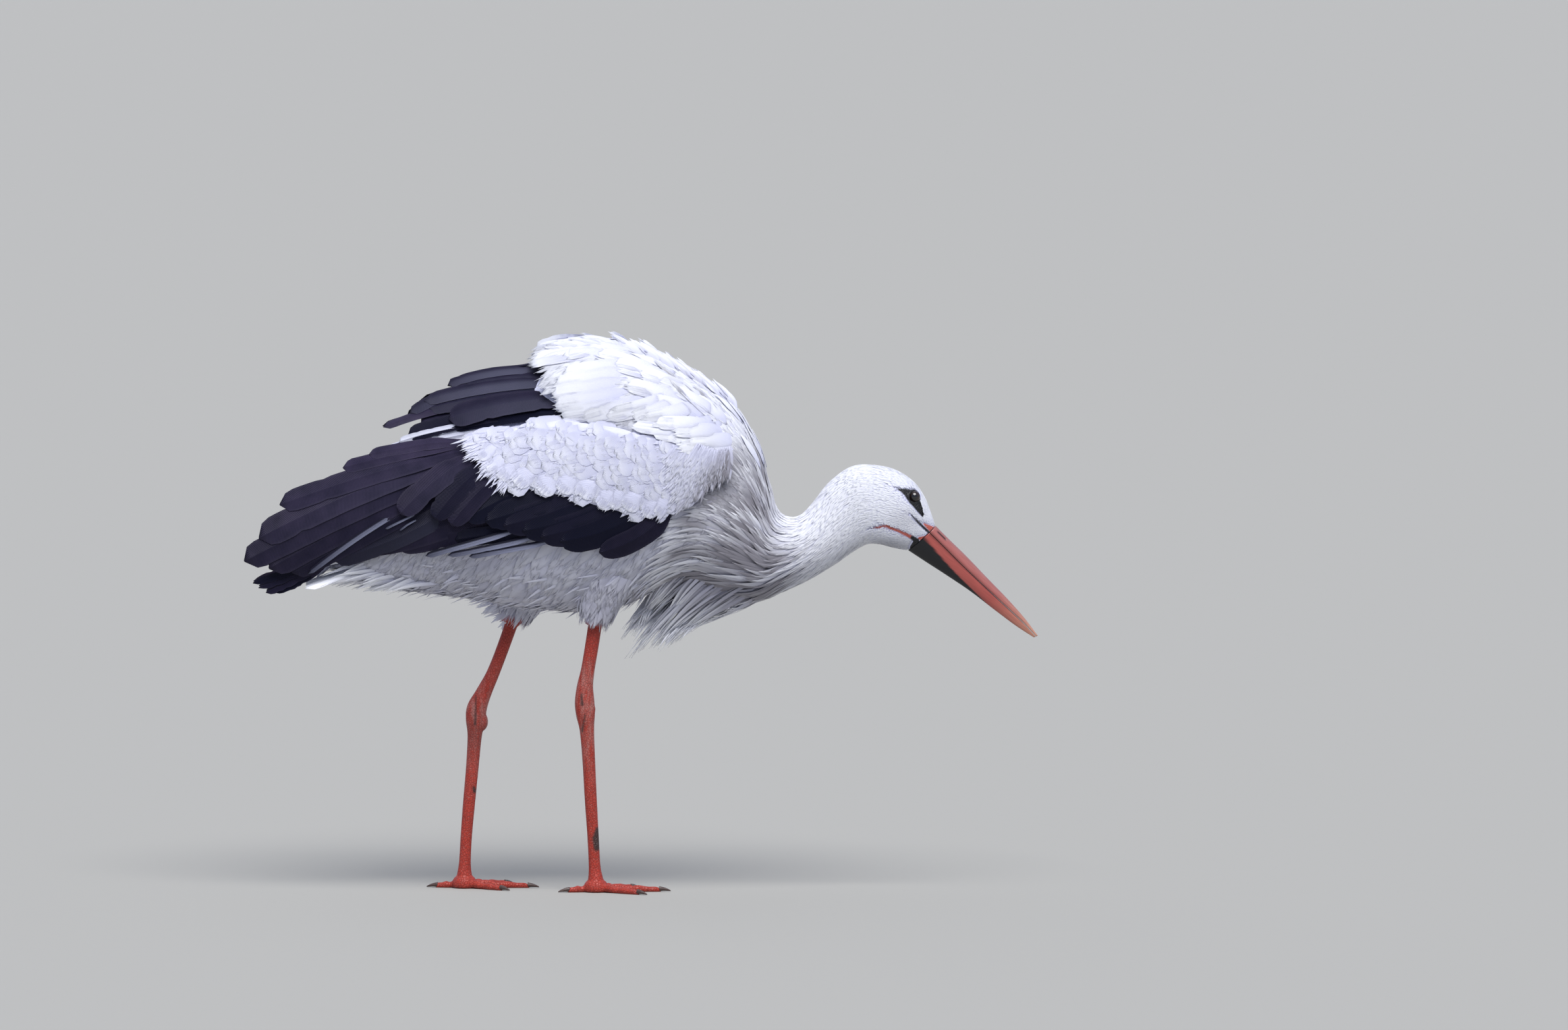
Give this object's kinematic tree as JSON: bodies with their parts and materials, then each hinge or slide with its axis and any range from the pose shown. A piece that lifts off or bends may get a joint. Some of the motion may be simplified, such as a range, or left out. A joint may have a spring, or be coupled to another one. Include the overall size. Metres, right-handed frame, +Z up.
{
  "type": "white stork display model",
  "caption": "Life-size still model of an adult white stork that stoops to feed, standing on both feet with its wings folded and its bill lowered.",
  "frame": {"origin": "on the floor, under the middle of the bird's bounding box", "axes": "+X from the tail towards the bill, +Y to the bird's left, +Z up"},
  "size_m": [0.8481, 0.2012, 0.5919],
  "materials": {
    "white_feather": "soft matte white plumage with a faint lavender shade",
    "cream_feather": "long hanging breast plumes, creamy grey and streaked",
    "black_feather": "charcoal flight feathers with a low sheen and silvery edges",
    "red_skin": "scaly orange-red bare leg skin",
    "red_horn": "smooth orange-red horn, paler along the culmen",
    "claw_horn": "dark brown horn",
    "eye": "glossy dark brown, almost black"
  },
  "bodies": {
    "root": {"trunk": "white_feather", "neck_foot": "white_feather", "neck": "white_feather", "head": "white_feather", "eye_right": "eye", "eye_left": "eye", "bill_upper": "red_horn", "bill_lower": "red_horn", "mantle": "white_feather", "neck_plume": "cream_feather", "wing_coverts_right": "white_feather", "wing_coverts_left": "white_feather", "wing_flight_right": "black_feather", "wing_flight_left": "black_feather", "scapulars_right": "black_feather", "scapulars_left": "black_feather", "primaries_right": "black_feather", "primaries_left": "black_feather", "tail": "white_feather", "thigh_right": "white_feather", "thigh_left": "white_feather", "shank_right": "red_skin", "shank_left": "red_skin", "tarsus_right": "red_skin", "tarsus_left": "red_skin", "foot_right": "red_skin", "foot_left": "red_skin", "toe_middle_right": "red_skin", "toe_middle_left": "red_skin", "toe_outer_right": "red_skin", "toe_outer_left": "red_skin", "toe_inner_right": "red_skin", "toe_inner_left": "red_skin", "toe_hind_right": "red_skin", "toe_hind_left": "red_skin", "claw_middle_right": "claw_horn", "claw_middle_left": "claw_horn", "claw_outer_right": "claw_horn", "claw_outer_left": "claw_horn", "claw_inner_right": "claw_horn", "claw_inner_left": "claw_horn", "claw_hind_right": "claw_horn", "claw_hind_left": "claw_horn"}
  },
  "joints": []
}
